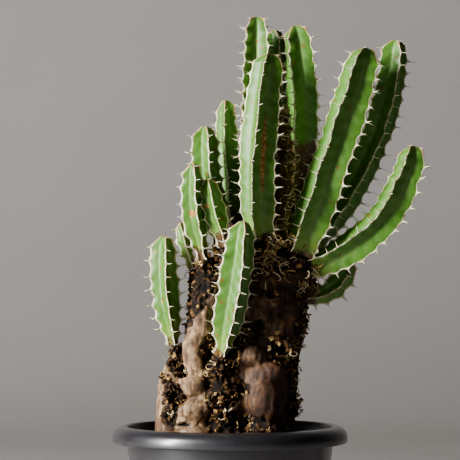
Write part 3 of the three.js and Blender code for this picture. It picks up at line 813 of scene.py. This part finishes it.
class Trunk:
    """The woody trunk: its lumpy body, its scars, and where the bark is smooth, crusted or pitted."""

    # The rings round a scar: (height as a share of its radius, distance and width in radii).
    RINGS = ((0.34, 0.95, 0.25), (0.12, 1.5, 0.18))
    # Lumps, fibres, wrinkles and knobs: (size of their features, field of noise, height), in millimetres.
    RELIEF = (((13, 13, 17), 0, 1.2), ((2.4, 2.4, 20), 7, 0.35), ((7, 7, 2.2), 3, 0.2), ((4.2, 4.2, 5.5), 43, 1.2))
    PETALS = 2.9  # round a scar, for each millimetre of its radius

    def __init__(self, settings):
        self.settings = settings
        self.cad = tree_of(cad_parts["trunk"])
        self.scars = []
        self.feet = [StemAxis(node).at(np.array([0.03]))[0] for node in STEMS]

    def crust_at(self, places):
        """0 on smooth bark to 1 on crusted bark."""
        x, y, z = ((places - [0, 0, SOIL_TOP]) / MM).T
        crust = np.zeros(len(places))
        for across, height, wide, tall, strength in CRUST:
            reach = np.hypot((x - across) / wide, (z - height) / tall)
            crust = np.maximum(crust, strength * smoothstep(1.25, 0.7, reach) * smoothstep(18, 2, y))
        # The limb behind the smooth one at the left is crusted down to a slanting edge, and darker for it: its own
        # crust, and painted shade where that limb lies in shadow.
        slant = 0.593 * (z - 88) - 0.806 * (x + 35)
        crust = np.maximum(crust, 0.85 * smoothstep(-1, 4, slant) * smoothstep(2, -4, x) * smoothstep(70, 80, z))
        behind = rough(np.array([x, y, z]).T, (24, 24, 26), 3)
        crust = np.maximum(crust, smoothstep(0.0, 0.22, behind) * smoothstep(2, 16, y) * 0.9)
        for foot in self.feet:
            near = np.linalg.norm(places - foot, axis=1) / MM
            crust = np.maximum(crust, 0.75 * smoothstep(20, 13, near))
        return crust

    def pale_at(self, places):
        """1 on the pale limbs at the left, 0 on the brown mass at the right; patches on that mass are pale, partly
        painted light where the knee and the bulges of the upper bole catch the light.
        """
        x, _, z = ((places - [0, 0, SOIL_TOP]) / MM).T
        limbs = smoothstep(-8, -18, x) * smoothstep(150, 118, z)
        ragged = 0.5 * np.array([noise.noise((a / 5, 7, b / 9)) for a, b in zip(x, z)])
        lobes = [strength * smoothstep(1.3, 0.3, np.hypot((x - across) / wide, (z - height) / tall) + ragged)
                 for across, height, wide, tall, strength in PALE_AND_LIT]
        return np.max([limbs, *lobes], axis=0)

    def build(self):
        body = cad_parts["trunk"].copy()
        body.data = body.data.copy()
        body.name = "trunk_bark"
        body.parent = None
        bpy.context.collection.objects.link(body)
        body.hide_render = body.hide_viewport = False
        activate(body)
        edit_mesh(("remove_doubles", {"threshold": 0.01 * MM}))
        lumps = [add_swelling(self.cad, bearing, *row) for bearing, rows in SWELLINGS.items() for row in rows]
        activate(body)
        for lump in lumps:
            lump.select_set(True)
        bpy.ops.object.join()
        apply_modifier(body, "REMESH", mode="VOXEL", voxel_size=self.settings.voxel)
        apply_modifier(body, "SMOOTH", factor=0.6, iterations=self.settings.smoothing)
        skin = tree_of(body)
        self.scars = [(*surface_from(skin, bearing, *row[:2]), *row[2:])
                      for bearing, rows in SCARS.items() for row in rows]
        self.carve(body)
        smooth_shade(body)
        return body

    def scar_field(self, places, normals):
        """How the scars raise, sink and roughen the bark round them, and where painted shade blackens their pits and
        the creases of the folds.
        """
        pit, ring, shift = np.zeros((3, len(places)))
        for place, normal, radius, depth, wide in self.scars:
            offset = (places - np.array(place)) / MM
            normal = np.array(normal)
            level = offset @ normal
            flat = offset - level[:, None] * normal
            reach = np.sqrt((flat[:, 0] ** 2 + flat[:, 1] ** 2) / wide ** 2 + flat[:, 2] ** 2 * wide)
            near = (reach < 2.4 * radius) & (np.abs(level) < 2 * radius) & (normals @ normal > -0.2)
            angle = np.arctan2(flat[near][:, 2], flat[near][:, 0] + flat[near][:, 1])
            ragged = 1 + 0.14 * np.sin(3 * angle + radius) + 0.1 * np.sin(7 * angle + depth * 9)
            r = reach[near] / (radius * ragged)
            notches = 0.65 + 0.35 * np.sin(9 * angle + 4 * radius) * np.sin(4 * angle)
            rim, outer = (height * radius * np.exp(-((r - middle) / width) ** 2)
                          for height, middle, width in self.RINGS)
            shift[near] += rim * notches + outer - depth * radius * smoothstep(0.85, 0.1, r)
            # The pits and the folds are painted near black: painted shade in the hole and in the crease.
            if wide > FOLD:
                pit[near] = np.maximum(pit[near], smoothstep(0.8, 0.5, r))
                continue
            pit[near] = np.maximum(pit[near], smoothstep(0.72, 0.3, r) * min(1, depth * 1.1))
            ring[near] = np.maximum(ring[near], smoothstep(1.7, 1.2, r) * 0.9)
        return pit, ring, shift

    def carve(self, body):
        places, normals = coordinates(body), normals_of(body)
        pit, ring, shift = self.scar_field(places, normals)
        local = (places - [0, 0, SOIL_TOP]) / MM
        crust, pale = self.crust_at(places), self.pale_at(places)
        patchy = 0.5 * rough(local, (8, 8, 8), 31) * (crust > 0.02)
        crust = smoothstep(0.2, 0.7, np.clip(np.maximum(crust, ring) + patchy, 0, 1))
        lump, fibre, wrinkle, knob = (rough(local, scales, field) * tall for scales, field, tall in self.RELIEF)
        groove = -np.maximum(0.0, rough(local, (5, 5, 46), 19) - 0.14) * (2.4 - 0.8 * pale)
        knob = knob * (1 - pale) * smoothstep(70, 88, local[:, 2])
        shift += lump + fibre + wrinkle + knob + groove * (1 - 0.6 * crust)
        relief = np.array([noise.turbulence(place, 4, True, noise_basis="PERLIN_ORIGINAL")
                           for place in (local / (4.6, 4.6, 4.2)).tolist()])
        relief = np.clip((relief - 0.25) / 0.9, 0, 1)
        shift += crust * (relief - 0.45) * self.settings.crust / MM
        set_coordinates(body, places + normals * shift[:, None] * MM)
        set_attributes(body, pit=pit, pale=pale * (1 - 0.35 * crust), crust=crust, relief=relief)
        self.crust = crust

    def petals(self, body, shape, generator):
        """The large single flakes, and the ragged rings of dry bark that curl back from the rims of the scars."""
        put, tones = [], []
        skin = tree_of(body)
        for offset, height, length, turn, tone in FLAKES:
            place, normal = surface_from(skin, 0, offset, height)
            x_way = (Matrix.Rotation(math.radians(turn), 3, "Y") @ Vector((1, 0, 0))).normalized()
            z_way = (normal + FRONT).normalized()
            y_way = z_way.cross(x_way).normalized()
            turned = np.array([x_way, y_way, x_way.cross(y_way)]).T * length * MM
            put.append((turned @ np.diag([1.0, 1.0, 0.6]), np.array(place - x_way * 0.2 * length * MM)))
            tones.append(tone)
        for place, normal, radius, depth, wide in self.scars:
            if wide > FOLD:
                continue
            level = UP.cross(normal).normalized()
            steep = normal.cross(level)
            count = round(radius * self.PETALS)
            gold = generator.uniform(0.25, 0.7)
            for k in range(count):
                turn = (k + generator.uniform(-0.4, 0.4)) / count * math.tau
                outward = level * math.cos(turn) * wide + steep * math.sin(turn) / wide ** 0.25
                side = normal.cross(outward).normalized()
                inward = -1 if generator.random() < 0.3 else 1
                lean = normal + outward.normalized() * generator.uniform(-0.5, 0.3)
                x_way = (outward.normalized() * inward + side * generator.uniform(-0.6, 0.6)).normalized()
                y_way = lean.cross(x_way).normalized()
                z_way = x_way.cross(y_way)
                size = radius * generator.uniform(0.5, 0.95) * MM
                turned = np.array([x_way, y_way, z_way]).T
                stretch = np.diag([1, generator.uniform(0.7, 1.5), generator.uniform(0.5, 1.1)])
                out = generator.uniform(0.8, 1.25) * radius * MM
                put.append((turned @ stretch * size, np.array(place + outward * out + normal * radius * 0.16 * MM)))
                tones.append(min(1, max(0, generator.gauss(gold, 0.22))))
        return scatter("scar_petals", shape, put, 40, tones)


def flake_template():
    """One chip of dry bark: a thin strip that curls along its length, closed all round."""
    strip = primitive("grid", x_subdivisions=5, y_subdivisions=2, size=1)
    points = coordinates(strip)
    points[:, 1] *= 0.42 * (1 - 0.55 * (points[:, 0] + 0.5) ** 2)
    curl = (points[:, 0] + 0.5) * 2.1
    points[:, 2] = (1 - np.cos(curl)) * 0.42 + 0.25 * points[:, 1] ** 2
    points[:, 0] = np.sin(curl) * 0.45
    set_coordinates(strip, points)
    apply_modifier(strip, "SOLIDIFY", thickness=0.07, offset=0)
    return shape_of(strip)


def curl_template():
    """One withered curl: a thin tapering tendril that winds a turn and a bit."""
    sides, steps = 5, 10
    points, faces = [], []
    for step in range(steps + 1):
        share = step / steps
        turn = share * 5.2
        centre = Vector((math.cos(turn) * 0.5 * (1 - 0.5 * share) - 0.5, share * 0.35, math.sin(turn) * 0.5))
        thick = 0.075 * (1 - 0.75 * share)
        for side in range(sides):
            angle = side / sides * math.tau
            away = Vector((math.cos(turn) * math.cos(angle), math.sin(angle), math.sin(turn) * math.cos(angle)))
            points.append(centre + away * thick)
    for step in range(steps):
        for side in range(sides):
            a, b = step * sides + side, step * sides + (side + 1) % sides
            faces.append((a, a + sides, b + sides, b))
    faces.append(tuple(range(sides)))
    faces.append(tuple(range(steps * sides + sides - 1, steps * sides - 1, -1)))
    return np.array(points), faces


def strewn(name, bodies, shape, count, sizes, lift, generator, tone):
    """Copies of a small shape on bodies of (object, chance of each vertex), each turned and toned its own way."""
    put, tones = [], []
    for body, chance in bodies:
        places, normals = coordinates(body), normals_of(body)
        clumps = np.array([noise.noise(Vector(place) / (9 * MM)) for place in places])
        chance = np.cumsum(chance * smoothstep(-0.15, 0.3, clumps))
        for _ in range(count):
            i = min(int(np.searchsorted(chance, generator.random() * chance[-1])), len(places) - 1)
            normal = Vector(normals[i])
            lean = Vector([generator.uniform(-1, 1) for _ in range(3)])
            facing = (normal + lean * 0.45).normalized()
            spin = Matrix.Rotation(generator.uniform(0, math.tau), 3, "Z")
            turn = UP.rotation_difference(facing).to_matrix() @ spin
            size = generator.uniform(*sizes) * MM
            stretch = np.diag([generator.uniform(low, high) for low, high in ((0.8, 1.3), (0.6, 1.2), (0.6, 1.2))])
            put.append((np.array(turn) @ stretch * size, places[i] + normals[i] * lift * size))
            tones.append(min(1, max(0, generator.gauss(tone, 0.26))))
    return scatter(name, shape, put, 40, tones)


# --- Pot and soil --------------------------------------------------------------------------------

def arc(centre, radii, start, end, steps):
    """Points (radius, height) along a quarter or half round, angles in degrees from the horizontal."""
    turns = [math.radians(start + (end - start) * i / steps) for i in range(steps + 1)]
    return [(centre[0] + radii[0] * math.cos(t), centre[1] + radii[1] * math.sin(t)) for t in turns]


def revolved(name, profile, steps):
    """A closed profile that starts and ends on the axis, turned once round it."""
    obj = mesh_object(name, [(out, 0, height) for out, height in profile],
                      [(i, i + 1) for i in range(len(profile) - 1)], [])
    apply_modifier(obj, "SCREW", angle=math.tau, steps=steps, render_steps=steps, axis="Z",
                   use_merge_vertices=True, merge_threshold=0.02 * MM)
    edit_mesh(("remove_doubles", {"threshold": 0.02 * MM}), ("normals_make_consistent", {"inside": False}))
    return obj


def build_pot(settings):
    points = coordinates(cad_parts["pot"])
    low = points[points[:, 2] < POT_LOW.z + 2 * MM]
    base, neck = np.hypot(low[:, 0], low[:, 1]).max(), POT_HIGH.x - settings.overhang
    rim, top, wall = POT_HIGH.x, POT_HIGH.z, settings.wall
    skirt, roll, floor = top - settings.skirt, settings.roll, settings.floor
    radius = lambda z: base + (neck - base) * z / skirt
    brim = radius(top) - wall
    crown = brim + settings.crown
    heel, edge = 2 * MM, 1.6 * MM  # radii of the pot's lower edge and of the rim's inner edge
    outer = [(0, 0), (base - heel, 0), *arc((base - heel, heel), (heel, heel), -90, 0, 4)]
    wall_up = [(radius(z), z) for z in np.linspace(4 * MM, skirt, 14)]
    under = [(radius(top - 6 * MM), top - 6 * MM), (radius(top) + 1 * MM, top - wall - 1.5 * MM),
             (rim - roll * 0.7, top - wall - 1.5 * MM), (rim - wall, top - roll - 1 * MM)]
    foot = [(rim - wall, skirt + 1 * MM), *arc((rim - wall / 2, skirt + wall / 2), (wall / 2, wall / 2), 180, 360, 6)]
    over = arc((crown, top - roll), (rim - crown, roll), 0, 90, 14)
    lip = arc((brim + edge, top - edge), (edge, edge), 90, 180, 5)
    inside = [(radius(z) - wall, z) for z in np.linspace(top - 3 * MM, floor + 2 * MM, 8)]
    inner = [*inside, (base - wall - 1.5 * MM, floor), (0, floor)]
    obj = revolved("pot_shell", outer + wall_up + under + foot + over + lip + inner, settings.sides)
    for i in range(settings.drain_holes):
        turn = (i + 0.5) / settings.drain_holes * math.tau
        place = Vector((math.cos(turn), math.sin(turn), 0)) * settings.drain_circle / 2
        hole = primitive("cylinder", vertices=24, radius=settings.drain_diameter / 2, depth=6 * floor, location=place)
        apply_modifier(obj, "BOOLEAN", object=hole, operation="DIFFERENCE", solver="EXACT")
        bpy.data.objects.remove(hole)
    smooth_shade(obj, 35)
    return obj


def build_soil(settings):
    points = coordinates(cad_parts["soil"])
    edge = points[:, 2].max() - MOUND
    brim = np.hypot(points[:, 0], points[:, 1]).max()
    foot = np.hypot(*points[points[:, 2] < SOIL_LOW.z + 1 * MM][:, :2].T).max()
    top = [(brim * share, edge + MOUND * min(1, 1.6 * (1 - share))) for share in np.linspace(1, 0, 60)]
    obj = revolved("soil_body", [(0, SOIL_LOW.z), (foot, SOIL_LOW.z), *top], 180)
    places = coordinates(obj)
    x, y, z = places.T
    for i in np.flatnonzero((z > edge - 0.5 * MM) & (np.hypot(x, y) < brim - 0.5 * MM)):
        coarse = noise.noise((x[i] / 0.022, y[i] / 0.022, 4.0)) * 1.6
        fine = noise.noise((x[i] / 0.005, y[i] / 0.005, 9.0)) * 0.9
        z[i] += (coarse + fine) * MM
    set_coordinates(obj, places)
    smooth_shade(obj)
    return obj


def build_grit(settings, soil):
    """Loose grit on the soil: lumpy grains with a few dozen faces, strewn evenly over it."""
    generator = random.Random(settings.seed)
    template, faces = shape_of(primitive("ico_sphere", subdivisions=1, radius=1))
    lumps = np.array([1 + 0.35 * noise.noise(Vector(p) * 1.3 + Vector((5, 2, 8))) for p in template])
    surface = tree_of(soil)
    brim = SOIL_HIGH.x - 2 * MM
    places, tones = [], []
    while len(places) < settings.grains:
        out, turn = brim * math.sqrt(generator.random()), generator.uniform(0, math.tau)
        x, y = out * math.cos(turn), out * math.sin(turn)
        hit, normal, _, _ = surface.ray_cast(Vector((x, y, 1)), -UP)
        if hit is None or normal.z < 0.3:
            continue
        size = generator.choice((0.9, 1.3, 1.8, 2.4)) * generator.uniform(0.7, 1.15) * MM
        turned = np.array(Quaternion([generator.gauss(0, 1) for _ in range(4)]).normalized().to_matrix())
        stretch = np.diag([generator.uniform(0.75, 1.2) for _ in range(3)])
        places.append((turned @ stretch * size, np.array(hit) + [0, 0, 0.35 * size]))
        tones.append(generator.random())
    return scatter("soil_grit", (template * lumps[:, None], faces), places, 50, tones)


# --- Settings ------------------------------------------------------------------------------------

def length(name, millimetres, description):
    return FloatProperty(name=name, description=description, default=millimetres * MM, min=0.0,
                         subtype="DISTANCE", unit="LENGTH")


def number(name, value, description, low=0.0, high=1000.0):
    return FloatProperty(name=name, description=description, default=value, min=low, max=high)


def count(name, value, description, low=0):
    return IntProperty(name=name, description=description, default=value, min=low)


def colour(name, hex_colour, description):
    return FloatVectorProperty(name=name, description=description, default=linear(hex_colour), size=4,
                               min=0.0, max=1.0, subtype="COLOR")


class PotSettings(bpy.types.PropertyGroup):
    overhang: length("Overhang", 11, "How far the rim stands out from the wall")
    skirt: length("Skirt", 12.5, "Height of the part of the rim that turns down")
    roll: length("Roll", 8.5, "Height over which the rim rolls inwards")
    crown: length("Crown", 2.3, "Width of the rim's flat top from the inner edge")
    wall: length("Wall", 2.2, "Thickness of the wall")
    floor: length("Floor", 3, "Thickness of the floor")
    drain_diameter: length("Drain Diameter", 9, "Width of each drain hole")
    drain_circle: length("Drain Circle", 84, "Diameter of the circle of drain holes")
    drain_holes: count("Drain Holes", 8, "Number of drain holes")
    sides: count("Sides", 160, "Facets round the pot", 24)
    dark: colour("Dark", "#242226", "Plastic where it is darkest")
    light: colour("Light", "#302e33", "Plastic where it is lightest")
    roughness: number("Roughness", 0.38, "Blur of the highlights", high=1)


class SoilSettings(bpy.types.PropertyGroup):
    grains: count("Grains", 1500, "Number of loose grains of grit")
    seed: count("Seed", 11, "Arrangement of the grit")


class TrunkSettings(bpy.types.PropertyGroup):
    voxel: length("Cell", 1.15, "Size of the mesh's cells")
    smoothing: count("Smoothing", 6, "Passes that round the joined limbs")
    crust: length("Crust", 4.2, "Height of the bark's crust")
    bump: number("Grain", 0.8, "Strength of the bark's fine grain")
    flakes: count("Flakes", 620, "Number of loose bark flakes")
    curls: count("Curls", 300, "Number of withered curls")
    tufts: count("Tufts", 380, "Number of bleached curls on the crown")
    seed: count("Seed", 4, "Arrangement of flakes and curls")


class StemSettings(bpy.types.PropertyGroup):
    tooth_pitch: length("Cushion Pitch", 10.6, "From one spine cushion to the next along a rib")
    kink: length("Kink", 0.9, "How far a cushion can sit to one side of its ridge")
    tooth_rise: length("Cushion Rise", 2.3, "How far a cushion stands out from the dips beside it")
    furrow: number("Furrow", 0.4, "Furrow radius as a share of the rib radius", 0.2, 0.9)
    bead: length("Horn Bead", 0.55, "How far the horny margin stands out of the skin")
    ring_step: length("Ring Step", 0.95, "From one ring of the mesh to the next")
    margin: length("Margin", 0.9, "Half the width of the horny margin")
    deep_green: colour("Deep Green", "#3c6524", "Skin where it is darkest")
    green: colour("Green", "#69963e", "Skin where it is lightest")
    bloom: colour("Bloom", "#9bbc79", "Waxy bloom in the furrows")
    spine_length: length("Spine Length", 7, "From the foot of a spine to its tip")
    spine_width: length("Spine Width", 1.2, "Width of a spine at its foot")
    litter: count("Litter", 190, "Number of dry curls on each corky or dead stem")
    seed: count("Seed", 7, "Arrangement of the spines and the litter")


class StageSettings(bpy.types.PropertyGroup):
    key_power: number("Key Power", 310, "Watts of the large light at the left")
    fill_power: number("Fill Power", 0.4, "Watts of the weak light at the front")
    world: number("World", 0.03, "Brightness of the surroundings")
    camera_distance: length("Camera Distance", 1400, "From the pot's axis to the camera")
    camera_height: length("Camera Height", 250, "Height of the camera above the floor")
    aim_height: length("Aim Height", 305, "Height that the camera looks at")
    lens: number("Lens", 142.4, "Focal length in millimetres", 10)


# --- Operators -----------------------------------------------------------------------------------

class EUPHORBIA_OT_pot(bpy.types.Operator):
    """Turn the rolled-rim plastic pot with its drain holes"""
    bl_idname = "euphorbia.pot"
    bl_label = "Pot"

    def execute(self, context):
        settings = context.scene.euphorbia_pot
        hand_over(build_pot(settings), pot_plastic(settings), "pot_plastic", "pot")
        return {"FINISHED"}


class EUPHORBIA_OT_soil(bpy.types.Operator):
    """Fill the pot with gritty soil and strew loose grit on it"""
    bl_idname = "euphorbia.soil"
    bl_label = "Soil"

    def execute(self, context):
        settings = context.scene.euphorbia_soil
        soil = build_soil(settings)
        grit = build_grit(settings, soil)
        hand_over(soil, soil_mix(settings), "soil_mix", "soil")
        hand_over(grit, grit_stone(settings), "soil_mix", "soil")
        return {"FINISHED"}


class EUPHORBIA_OT_trunk(bpy.types.Operator):
    """Grow the gnarled trunk with its scars, its loose bark flakes and its withered curls"""
    bl_idname = "euphorbia.trunk"
    bl_label = "Trunk"

    def execute(self, context):
        settings = context.scene.euphorbia_trunk
        trunk = Trunk(settings)
        body = trunk.build()
        generator = random.Random(settings.seed)
        strip, curl = flake_template(), curl_template()
        petals = trunk.petals(body, strip, generator)
        x, y, z = ((coordinates(body) - [0, 0, SOIL_TOP]) / MM).T
        shown = z > -2
        crown = smoothstep(118, 136, z) * (y < 8) * (x > -6)
        flakes = strewn("bark_flakes", [(body, (trunk.crust ** 2 + 0.002) * shown)], strip,
                        settings.flakes, (2.5, 7.5), 0.05, generator, 0.48)
        curls = strewn("withered_curls", [(body, (trunk.crust ** 4 + 0.001) * shown)], curl,
                       settings.curls, (3.0, 6.5), 0.2, generator, 0.62)
        tufts = strewn("crown_curls", [(body, (trunk.crust + 0.1) * crown)], curl,
                       settings.tufts, (4.0, 9.0), 0.15, generator, 0.86)
        hand_over(body, bark_skin(settings), "bark", "trunk")
        chips = flake_bark(settings)
        for piece in (petals, flakes, curls, tufts):
            hand_over(piece, chips, "bark", "trunk")
        return {"FINISHED"}


class EUPHORBIA_OT_stems(bpy.types.Operator):
    """Grow the ribbed stems and set a pair of spines on every cushion"""
    bl_idname = "euphorbia.stems"
    bl_label = "Stems"

    def execute(self, context):
        settings = context.scene.euphorbia_stems
        generator = random.Random(settings.seed)
        spine = spine_template(settings)
        green, horn, wood = stem_skin(settings), spine_horn(settings), bark_skin(context.scene.euphorbia_trunk)
        withered = []
        for node in STEMS:
            stem = Stem(node, settings)
            skin = stem.build()
            places = len(skin.data.vertices)
            if stem.dead:
                set_attributes(skin, crust=np.full(places, 0.6),
                               relief=np.random.default_rng(settings.seed).random(places))
                hand_over(skin, wood, "dead_wood", node)
                withered.append((skin, np.ones(places)))
            else:
                hand_over(skin, green, "green_skin", node)
                if CORK.get(node, 0) > LITTERED:
                    foot = np.array([item.value for item in skin.data.attributes["foot"].data])
                    withered.append((skin, (foot < CORK[node]).astype(float)))
            hand_over(stem.spines(spine, generator), horn, "dead_wood", node)
        # The litter's pale tone is partly the curls' own dry straw colour and partly painted light: raised so that
        # curls lying in shade still look lit.
        litter = strewn("withered_litter", withered, curl_template(), settings.litter, (2.5, 6.0), 0.12,
                        generator, 0.95)
        hand_over(litter, flake_bark(settings), "dead_wood", DEAD_STEM)
        return {"FINISHED"}


# The lights: (width, height) and place, in metres.
KEY_LIGHT = ((0.6, 2.6), (-2.9, -1.6, 1.3))
FILL_LIGHT = ((0.9, 0.9), (-0.55, -1.7, 0.7))


class EUPHORBIA_OT_stage(bpy.types.Operator):
    """Set up the floor, the lights and the camera"""
    bl_idname = "euphorbia.stage"
    bl_label = "Stage"

    def execute(self, context):
        settings = context.scene.euphorbia_stage
        sweep = build_sweep()
        sweep.data.materials.append(studio_floor(settings))
        middle = (CAD_BOX[0] + CAD_BOX[1]) / 2
        place_light("key", settings.key_power, *KEY_LIGHT, middle)
        place_light("fill", settings.fill_power, *FILL_LIGHT, middle)
        place_camera(settings)
        world = bpy.data.worlds.new("studio")
        world.use_nodes = True
        background = world.node_tree.nodes["Background"]
        background.inputs["Color"].default_value = linear("#e6e3e0")
        background.inputs["Strength"].default_value = settings.world
        context.scene.world = world
        context.scene.view_settings.look = "AgX - Medium High Contrast"
        return {"FINISHED"}


def build_sweep():
    """The floor, which curves up into a backdrop far behind the plant; all in metres."""
    flat, bend, near, breadth, whole = 7, 1.6, 5, 9, 14
    sweep = primitive("grid", x_subdivisions=2, y_subdivisions=60, size=2)
    sweep.name = sweep.data.name = "studio_sweep"
    places = coordinates(sweep)
    reach = (places[:, 1] + 1) / 2 * whole
    turn = np.clip((reach - flat) / bend, 0, math.pi / 2)
    places[:, 0] *= breadth
    places[:, 1] = np.minimum(reach, flat) - near + bend * np.sin(turn)
    places[:, 2] = POT_LOW.z + bend * (1 - np.cos(turn)) + np.maximum(0, reach - flat - bend * math.pi / 2)
    set_coordinates(sweep, places)
    smooth_shade(sweep)
    return sweep


def aimed(name, data, place, target):
    """A light or a camera at a place, turned to its target."""
    obj = new_object(name, data)
    obj.location = place
    obj.rotation_euler = (Vector(target) - Vector(place)).to_track_quat("-Z", "Y").to_euler()
    return obj


def place_light(name, power, size, place, target):
    light = bpy.data.lights.new(name, "AREA")
    light.energy, light.shape = power, "RECTANGLE"
    light.size, light.size_y = size
    aimed(name, light, place, target)


def place_camera(settings):
    camera = bpy.data.cameras.new("camera")
    camera.lens, camera.sensor_width, camera.clip_end = settings.lens, 36, 50
    place = (0, -settings.camera_distance, settings.camera_height)
    bpy.context.scene.camera = aimed("camera", camera, place, (0, 0, settings.aim_height))


class EUPHORBIA_PT_panel(bpy.types.Panel):
    """Lists what builds the potted euphorbia, piece by piece"""
    bl_idname = "EUPHORBIA_PT_panel"
    bl_label = "Potted Euphorbia"
    bl_space_type = "VIEW_3D"
    bl_region_type = "UI"
    bl_category = "Euphorbia"

    def draw(self, context):
        for operator, group in PIECES:
            box = self.layout.box()
            box.operator(operator.bl_idname)
            settings = getattr(context.scene, group)
            for name in settings.__annotations__:
                box.prop(settings, name)


PIECES = (
    (EUPHORBIA_OT_pot, "euphorbia_pot"),
    (EUPHORBIA_OT_soil, "euphorbia_soil"),
    (EUPHORBIA_OT_trunk, "euphorbia_trunk"),
    (EUPHORBIA_OT_stems, "euphorbia_stems"),
    (EUPHORBIA_OT_stage, "euphorbia_stage"),
)
SETTINGS = {
    "euphorbia_pot": PotSettings,
    "euphorbia_soil": SoilSettings,
    "euphorbia_trunk": TrunkSettings,
    "euphorbia_stems": StemSettings,
    "euphorbia_stage": StageSettings,
}
CLASSES = (*SETTINGS.values(), *(operator for operator, _ in PIECES), EUPHORBIA_PT_panel)


def register():
    for cls in CLASSES:
        bpy.utils.register_class(cls)
    for name, group in SETTINGS.items():
        setattr(bpy.types.Scene, name, PointerProperty(type=group))


def unregister():
    for name in SETTINGS:
        delattr(bpy.types.Scene, name)
    for cls in reversed(CLASSES):
        bpy.utils.unregister_class(cls)


def main():
    register()
    for operator, _ in PIECES:
        family, name = operator.bl_idname.split(".")
        getattr(getattr(bpy.ops, family), name)()


if __name__ == "__main__":
    main()
